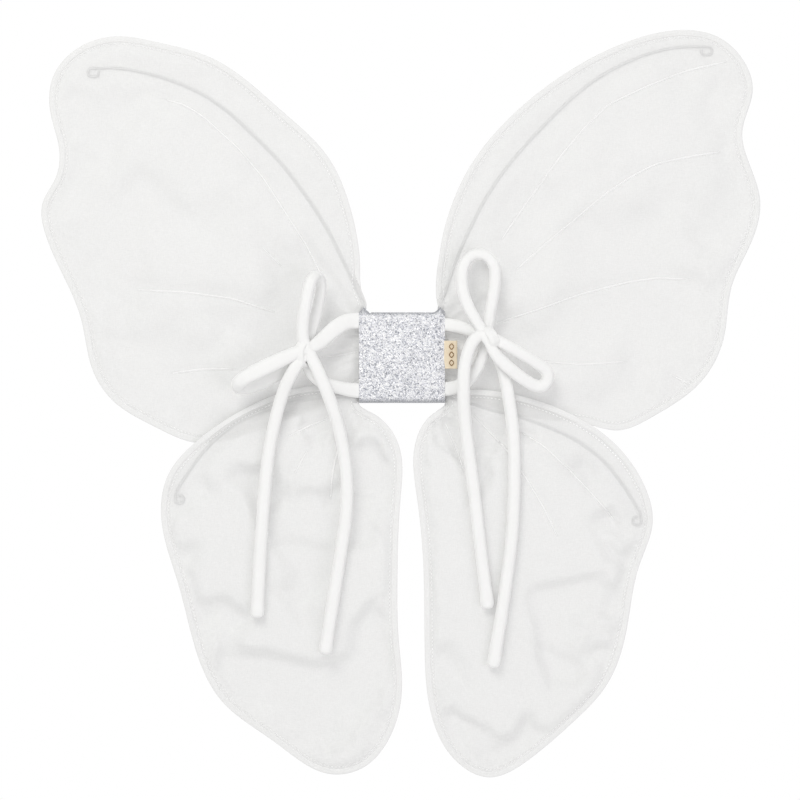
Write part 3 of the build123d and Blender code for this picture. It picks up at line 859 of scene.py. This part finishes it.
def wing_height(wing, points, side):
    """The y of a wing's layer: side is -1 for the wearer's layer, 1 for the back, 0 for the hem."""
    edge = distance(points, wing["free"])
    wire = distance(points, wing["wire"])
    vein = np.min([distance(points, v) for v in wing["veins"]], axis=0)
    root = distance(points, wing["root"])
    other = distance(points, wing["other"], True)
    shared = np.where(inside(points, wing["other"]), 0, smooth(other, 2, 26))
    free_of_wire = smooth(wire, 1.3, 15)
    # What both layers share: simulated folds, a slow bow, long ripples and gathers.
    common = cubic_sample(wing["common"], wing["low"], CELL, points) * wing["amount"]
    common = common * smooth(edge, 2.5, 11.5) * free_of_wire
    common = common + wander(points, 55.0, wing["seed"] + 20) * 1.1 * free_of_wire * smooth(root, 10, 60)
    ripples = wander(points * (0.45, 1.0), 19.0, wing["seed"] + 90) * smooth(edge, 3, 22)
    common = common + ripples * smooth(root, 20, 60) * wing["swells"] * free_of_wire
    common = common + gathers(wing, points) * smooth(edge, 2, 9) * (0.35 + 0.65 * free_of_wire)
    # A wing keeps clear of the other one where the two overlap.
    if wing["upper"]:
        common = soft_limit(common, -3.0 + 2.6 * (1 - shared), 4.0)
    else:
        common = soft_limit(common, -3.7, 4.8 - 4.4 * (1 - shared))
    gap = HEM_GAP + OPEN_GAP * smooth(edge, HEM, 11)
    gap = gap * (1 - 0.72 * (1 - smooth(vein, 0.4, 5.5)) * smooth(edge, HEM, 9))
    ridge = WIRE_GAP + RIDGE * (1 - smooth(wire, 0.6, 1.25))
    near = 1 - smooth(wire, 1.3, 5.0)
    gap = gap * (1 - near) + ridge * near
    puff = cubic_sample(wing["puff"], wing["low"], CELL, points) * wing["amount"]
    lift = np.maximum(puff * side, 0) * 0.8 * smooth(edge, HEM, 22) * smooth(vein, 1, 14)
    lift = lift * smooth(wire, 2, 14)
    lift = MOST_LIFT * np.tanh(lift / MOST_LIFT)
    lift = lift * (1 if wing["upper"] == (side > 0) else shared)
    # The wire steps from the fold line to the wing's plane just outside the block.
    if wing["upper"]:
        step = (1 - smooth(points[:, 1], 34, 39.5)) * (1 - smooth(wire, 3, 9))
    else:
        step = (1 - smooth(np.abs(points[:, 0]), 25, 30)) * (1 - smooth(wire, 3, 9))
    y = wing["plane"] + (FOLD_Y - wing["plane"]) * step + common + side * (gap + lift * smooth(root, 8, 40))
    if side < 0 and not wing["upper"]:
        y = np.maximum(y, NEAREST_WEARER)
    in_block = (np.abs(points[:, 0]) < 29.2) & (points[:, 1] > -31.2)
    return np.where(in_block, np.clip(y, *SLOT), y)


def inward(line):
    """Unit normals to the left of a line of x and z."""
    tangent = unit(np.gradient(line, axis=0))
    return np.stack([-tangent[:, 1], tangent[:, 0]], 1)


def rows_beside(line, step, rows, share, border):
    """Points inside a border, in rows on both sides of a line and clear of its bends."""
    middle = evenly(line, step)
    beside = inward(middle)
    for row in rows:
        for turn in (-1, 1) if row else (1,):
            spots = middle + beside * row * turn
            spots = spots[inside(spots, border)]
            spots = spots[distance(spots, line) > row * share]
            yield spots[distance(spots, border, True) > 0.8]


def make_layer(name, wing, side):
    """One layer of voile, meshed evenly, and finer where it is gathered."""
    free = evenly(wing["free"], 2.4)
    root = evenly([wing["root"][0], wing["root"][1]], 1.6)[1:-1]
    border = np.vstack([free, root])
    low, high = border.min(axis=0), border.max(axis=0)
    fills = []
    for cell, near, far in ((2.9, 46.0, 1e9), (1.7, -1.0, 46.0)):
        rows = np.arange(low[1], high[1], cell * math.sqrt(3) / 2)
        grid = np.array([(x + (cell / 2) * (i % 2), z) for i, z in enumerate(rows)
                         for x in np.arange(low[0], high[0], cell)])
        grid = grid[inside(grid, border)]
        root_far = distance(grid, wing["root"])
        grid = grid[(root_far > near) & (root_far <= far)]
        grid = grid[distance(grid, border, True) > cell * 0.55]
        grid = grid[distance(grid, wing["free"]) > HEM_ROWS[-1] + 0.9]
        fills.append(grid[distance(grid, wing["wire"]) > RIDGE_ROWS[-1] + 0.6])
    # Rows along the wire give the voile a crisp ridge over it.
    fills += rows_beside(wing["wire"], 1.5, RIDGE_ROWS, 0.93, border)
    # Rows along the hem let the voile come out of it cleanly.
    for spots in rows_beside(wing["free"], 1.8, HEM_ROWS, 0.95, border):
        fills.append(spots[distance(spots, wing["wire"]) > RIDGE_ROWS[-1] + 0.6])
    flat = np.vstack([border] + fills)
    loop = [(i, (i + 1) % len(border)) for i in range(len(border))]
    points, _, faces, *_ = delaunay_2d_cdt([Vector(p) for p in flat], loop, [], 1, 1e-6)
    flat = np.array(points)
    # The layer's edge lies inside the hem.
    vertices = stood_up(flat, wing_height(wing, flat, side))
    order = 1 if side < 0 else -1
    turned = []
    for face in faces:
        a, b, c = (flat[i] for i in face[:3])
        area = (b[0] - a[0]) * (c[1] - a[1]) - (b[1] - a[1]) * (c[0] - a[0])
        turned.append(tuple(face) if area * order > 0 else tuple(reversed(face)))
    cloth = np.stack([flat[:, 0], flat[:, 1], np.full(len(flat), 7.0 * side)], 1)
    label = "front" if side < 0 else "back"
    return piece(f"{name}_{label}_panel", vertices, turned, voile, cloth=cloth, closed=False)


STITCH_LINE = 2.3
# Half of the hem's section, as distance in from the edge and rise, with a dip under the stitches.
HEM_HALF = [(0.2, 0.36), (0.7, 0.54), (1.7, 0.58), (STITCH_LINE, 0.48), (2.9, 0.56), (3.5, 0.44), (HEM, 0.18)]
HEM_SECTION = [(0.0, 0.0)] + [(depth, -rise) for depth, rise in HEM_HALF] + HEM_HALF[::-1]


def make_hem(name, wing):
    """The two edges turned in together, slightly puckered along the stitching."""
    line = evenly(wing["free"], 1.5)
    normal = inward(line)
    half_way = len(line) // 2
    if not inside(line[half_way:half_way + 1] + normal[half_way] * 2, wing["free"])[0]:
        normal = -normal
    pucker = wander(line, 3.4, wing["seed"] + 70)
    y = wing_height(wing, line + normal * 0.5, 0)
    rings = np.zeros((len(line), len(HEM_SECTION), 3))
    for k, (depth, rise) in enumerate(HEM_SECTION):
        rings[:, k] = stood_up(line + normal * depth, y + rise * (1 + 0.16 * pucker) + 0.10 * pucker)
    vertices, faces = skin(rings, capped=True)
    depths = np.array([depth for depth, _ in HEM_SECTION])
    cloth = spread_out(along(line)[:, None], depths[None, :], 3.0).reshape(-1, 3)
    hem = piece(name + "_hem", vertices, faces, hem_cloth, cloth=cloth)
    return hem, line, normal


def make_stitches(name, centres, directions, outs, length, thick, stitch_material, body=None):
    """Short rounded stitches, each sunk at both ends."""
    count, sides = len(centres), 6
    # Place along the stitch, share of its thickness, and rise out of the cloth.
    stations = [(-0.5, 0.35, -0.10), (-0.3, 1.0, 0.06), (0.0, 1.1, 0.12), (0.3, 1.0, 0.06),
                (0.5, 0.35, -0.10)]
    angle = round_angles(sides)
    across = np.cross(directions, outs)
    rings = np.zeros((count, len(stations), sides, 3))
    for i, (place, fat, rise) in enumerate(stations):
        middle = centres + directions * place * length + outs * rise
        for k, a in enumerate(angle):
            rings[:, i, k] = middle + (across * math.cos(a) + outs * math.sin(a)) * thick / 2 * fat
    _, pattern = skin(rings[0], capped=True)
    pattern_size = len(stations) * sides
    faces = [tuple(j + n * pattern_size for j in face) for n in range(count) for face in pattern]
    return piece(name, rings.reshape(-1, 3), faces, stitch_material, body)


def hem_stitches(name, wing, line, normal):
    """Rows of topstitch on both sides of the hem, the second row beyond the hem's inner edge."""
    centres, directions, outs = [], [], []
    for depth, pitch, slant, rise in ((STITCH_LINE, 2.3, 0.35, 0.46), (HEM + 1.3, 2.5, 0.0, None)):
        row = evenly(line + normal * depth, pitch)
        spots = (row[1:] + row[:-1]) / 2
        ahead = unit(row[1:] - row[:-1])
        sideways = np.stack([-ahead[:, 1], ahead[:, 0]], 1)
        ahead = unit(ahead + sideways * slant)
        keep = distance(spots, wing["root"]) > 6
        spots, ahead = spots[keep], ahead[keep]
        for side in (-1, 1):
            if rise is None:
                y = wing_height(wing, spots, side) + side * 0.05
            else:
                y = wing_height(wing, spots, 0) + side * rise
            centres.append(stood_up(spots, y))
            directions.append(stood_up(ahead, np.zeros(len(ahead))))
            outs.append(np.tile((0.0, float(side), 0.0), (len(spots), 1)))
    return make_stitches(name + "_stitches", np.vstack(centres), np.vstack(directions), np.vstack(outs),
                         1.55, 0.34, sewing)


def vein_tucks(name, wing):
    """Narrow pin tucks, raised on both layers, that fade out at their ends."""
    corners, faces, flats = [], [], []
    total, sides = 0, 8
    for vein in wing["veins"]:
        line = evenly(np.array(vein), 1.5)
        for _ in range(6):
            line[1:-1] = (line[:-2] + 2 * line[1:-1] + line[2:]) / 4
        run = along(line)
        fade = smooth(np.minimum(run, run[-1] - run), 0, 9)
        normal = inward(line)
        for side in (-1, 1):
            y = wing_height(wing, line, side)
            rings = np.zeros((len(line), sides, 3))
            for k, a in enumerate(round_angles(sides)):
                spot = line + normal * (0.52 * math.cos(a) * (0.35 + 0.65 * fade))[:, None]
                raised = y + side * (0.06 + 0.17 * math.sin(a)) * (0.2 + 0.8 * fade)
                rings[:, k] = stood_up(spot, raised)
            points, quads = skin(rings, capped=True)
            corners.append(points)
            faces += [tuple(i + total for i in quad) for quad in quads]
            flats.append(spread_out(run[:, None], np.arange(sides)[None, :] * 0.2, 5.0).reshape(-1, 3))
            total += len(points)
    cloth = np.vstack(flats)
    return piece(name + "_tucks", np.vstack(corners), faces, tuck_cloth, cloth=cloth)


# The cloth turns from the block to the wing between these two values of x; the loop below works out points
# from them but bends nothing.
FOLD_FROM, FOLD_TO = 21.0, 37.0
# The voile is cut fuller than the outline that it fills, and the lower wings more so.
for name, wing in wings.items():
    front = make_layer(name, wing, -1)
    back = make_layer(name, wing, 1)
    hem, line, normal = make_hem(name, wing)
    stitches = hem_stitches(name, wing, line, normal)
    tucks = vein_tucks(name, wing)
    sign = 1 if wing["body"].startswith("right") else -1
    bend_from, bend_to = ((sign * reach * MM, FOLD_Y * MM, 0) for reach in (FOLD_FROM, FOLD_TO))
    for part in (front, back, hem, stitches, tucks):
        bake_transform(part)
        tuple(bend_from)
        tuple(bend_to)
    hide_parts(name + "_front_voile")
    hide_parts(name + "_back_voile")
    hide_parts(name + "_edge_seam")


# ---------------------------------------------------------------- the block
cover_low, cover_high = (np.array(corner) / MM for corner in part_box("glitter_cover"))
HALF_X = (cover_high[0] - cover_low[0]) / 2
HALF_Z = (cover_high[2] - cover_low[2]) / 2
BACK_Y = cover_high[1]
FOLD_RADIUS = 3.6
COVER_THICK = 0.8
NOTCH = 6.2         # how far the sleeve's lower back corners are cut back
PEAK, PEAK_X = 3.7, (25.3, 25.6)    # the pulled-up corners: their height, and their x at left and right


def cover_section(step):
    """The sleeve's outline, as y and z, from the back seam round the front and back again."""
    corners = [(BACK_Y, 0), (BACK_Y, HALF_Z), (0, HALF_Z), (0, -HALF_Z), (BACK_Y, -HALF_Z), (BACK_Y, 0)]
    points = [np.array(corners[0], float)]
    for before, corner, after in zip(corners, corners[1:], corners[2:]):
        corner = np.array(corner, float)
        a = corner + unit(np.array(before) - corner) * FOLD_RADIUS
        b = corner + unit(np.array(after) - corner) * FOLD_RADIUS
        for t in np.linspace(0, 1, 9):
            points.append((1 - t) ** 2 * a + 2 * t * (1 - t) * corner + t ** 2 * b)
    points.append(np.array(corners[-1], float))
    return evenly(np.array(points), step)


def make_cover():
    """A sleeve of glitter fabric, folded over top and bottom, with pulled-up top corners."""
    section = cover_section(1.1)
    stations = np.concatenate([np.linspace(-1, -0.82, 12), np.linspace(-0.80, 0.80, 44),
                               np.linspace(0.82, 1, 12)]) * HALF_X
    rows = len(section)
    run = along(section)
    middle = np.array([BACK_Y / 2, 0])
    tangent = unit(np.gradient(section, axis=0))
    out = np.stack([tangent[:, 1], -tangent[:, 0]], 1)
    out *= np.where(np.sum(out * (section - middle), axis=1) > 0, 1, -1)[:, None]

    def surface(x, sink, turn):
        """One ring of the sleeve at x, sunk below its outer face."""
        spots = section - out * sink
        y, z = spots[:, 0].copy(), spots[:, 1].copy()
        front = 1 - smooth(y, 0.5, 5.0)
        flat = np.stack([np.full(rows, x), z], 1)
        crown = (1 - (x / HALF_X) ** 2) * (1 - (z / HALF_Z) ** 2)
        y += front * (0.18 * wander(flat, 15.0, 31) - 0.35 * crown)
        peak_at = PEAK_X[0] if x < 0 else PEAK_X[1]
        reach = 4.2 if abs(x) < peak_at else 3.6
        peak = np.clip(1 - abs(abs(x) - peak_at) / reach, 0, 1) ** 1.25
        top = smooth(z, HALF_Z - 6.5, HALF_Z - 0.5)
        z += top * (peak * PEAK - 1.0)
        z += (1 - smooth(z, -HALF_Z + 0.5, -HALF_Z + 5)) * 0.15 * wander(flat, 9.0, 37)
        squeeze = smooth(abs(x), HALF_X - 7, HALF_X) * 0.5
        y = np.where(y > BACK_Y / 2, y, y + squeeze * front)
        # The lower back corners are open, where the lower wires swing backwards.
        notch = smooth(y, 4.2, 6.2) * (1 - smooth(z, -21.5, -19.5)) * smooth(abs(x), 17.0, HALF_X)
        return np.stack([x - (turn + NOTCH * notch) * np.sign(x), y, z], 1)

    rings = [surface(x, 0.0, 0.0) for x in stations]
    # The ends are turned in, so that the sleeve's mouths show a fold and not a raw edge.
    rim = [(0.18, -0.10), (0.45, -0.05), (0.7, 0.15), (COVER_THICK, 0.6), (COVER_THICK, 2.2)]
    right = [surface(stations[-1], sink, turn) for sink, turn in rim]
    left = [surface(stations[0], sink, turn) for sink, turn in rim]
    inner = [surface(x, COVER_THICK, 0.0) for x in np.linspace(HALF_X - 4, -HALF_X + 4, 24)]
    everything = rings + right + inner + left[::-1]
    vertices, faces = skin(everything, ring_closed=False, path_closed=True)
    spans = np.array([ring[:, 0].mean() for ring in everything])
    cloth = spread_out(spans[:, None], run[None, :], 0.0).reshape(-1, 3)
    return piece("glitter_sleeve", vertices, faces, glitter, "block", cloth=cloth)


sleeve = make_cover()
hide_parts("glitter_cover")


def make_pad():
    """A firm felt pad, crowned, with rounded edges and a slightly lumpy face."""
    low, high = (np.array(corner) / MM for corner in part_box("core_pad"))
    centre, half = (low + high) / 2, (high - low) / 2 - np.array([5.6, 0.5, 0.6])
    rings = []
    for v in np.linspace(-math.pi / 2, math.pi / 2, 36):
        ring = []
        for u in round_angles(64):
            parts = np.array([math.cos(v) * math.cos(u), math.cos(v) * math.sin(u), math.sin(v)])
            parts = np.sign(parts) * np.abs(parts) ** np.array([0.32, 0.5, 0.32])
            ring.append(centre + half * parts)
        rings.append(ring)
    rings = np.array(rings)
    vertices, faces = skin(rings, capped=True)
    vertices = vertices + unit(vertices - centre) * (wander(vertices, 8.0, 51) * 0.15)[:, None]
    return piece("felt_pad", vertices, faces, felt, "block")


pad = make_pad()
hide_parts("core_pad")


def label_wave(z):
    """How far the label leans out of flat at a height."""
    return 0.16 * np.sin(z * 0.35 + 0.8)


def make_label():
    """A woven tape folded over on itself and caught in the side seam."""
    low, high = (np.array(corner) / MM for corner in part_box("side_label"))
    thick, reach = 0.42, high[0]
    mid_y = (low[1] + high[1]) / 2
    rise = (high[1] - low[1]) / 2 - thick / 2

    def leaf(side):
        """The front leaf (side -1) or the back one (1), from the seam to near the fold."""
        root = [(low[0] - 3.5, mid_y + side * rise * 0.55)]
        return root + [(x, mid_y + side * rise * (0.6 + 0.4 * (x - low[0]) / (reach - low[0])))
                       for x in np.linspace(low[0], reach - 1.2, 12)]

    bend = [(reach - 1.0 + 0.9 * math.cos(t), mid_y + rise * math.sin(t))
            for t in np.radians(np.linspace(-80, 80, 9))]
    path = evenly(np.array(leaf(-1) + bend + leaf(1)[::-1]), 0.45)
    normal = inward(path)
    heights = np.linspace(low[2], high[2], 40)
    run = along(path)
    rings = []
    for z in heights:
        sway = label_wave(z) * smooth(path[:, 0], low[0], reach)
        outer = path - normal * thick / 2
        inner = path + normal * thick / 2
        loop = np.vstack([outer, inner[::-1]])
        both = np.append(sway, sway[::-1])
        edge = 0.12 * math.sin(z * 4.0)
        rings.append(np.stack([loop[:, 0] + edge * 0.2, loop[:, 1] + both, np.full(len(loop), z)], 1))
    vertices, faces = skin(rings, capped=True)
    flat = np.append(run, run[::-1])
    cloth = np.array([(u, z, 0) for z in heights for u in flat])
    label = piece("folded_label", vertices, faces, label_cloth, "block", cloth=cloth)
    return label, low, high, mid_y - rise - thick / 2


label, label_low, label_high, label_face = make_label()
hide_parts("side_label")


def label_motif():
    """A generic row of three small stitched lozenges in gold thread."""
    centre_x = (label_low[0] + label_high[0]) / 2 + 0.3
    centre_z = (label_low[2] + label_high[2]) / 2
    centres, directions = [], []
    for step in (-5.4, 0.0, 5.4):
        corners = [(0, 2.1), (1.7, 0), (0, -2.1), (-1.7, 0)]
        for a, b in zip(corners, corners[1:] + corners[:1]):
            a, b = np.array(a), np.array(b)
            for t in (0.22, 0.5, 0.78):
                spot = a + (b - a) * t
                centres.append((centre_x + spot[0], 0, centre_z + step + spot[1]))
                directions.append(unit(np.array((b[0] - a[0], 0, b[1] - a[1]))))
    centres = np.array(centres)
    sway = label_wave(centres[:, 2]) * smooth(centres[:, 0], label_low[0], label_high[0])
    centres[:, 1] = label_face + sway + 0.02
    outs = np.tile((0.0, -1.0, 0.0), (len(centres), 1))
    make_stitches("label_motif", centres, np.array(directions), outs, 0.95, 0.52, gold_thread,
                  "block")


label_motif()

# ---------------------------------------------------------------- CAD nodes that stay
kept = {"left_wing_wire": wire_steel, "right_wing_wire": wire_steel, "left_wire_casing": tape,
        "right_wire_casing": tape, "cover_seam_stitches": seam_thread}
for name, finish in kept.items():
    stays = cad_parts[name]
    stays.data.materials.clear()
    stays.data.materials.append(finish)
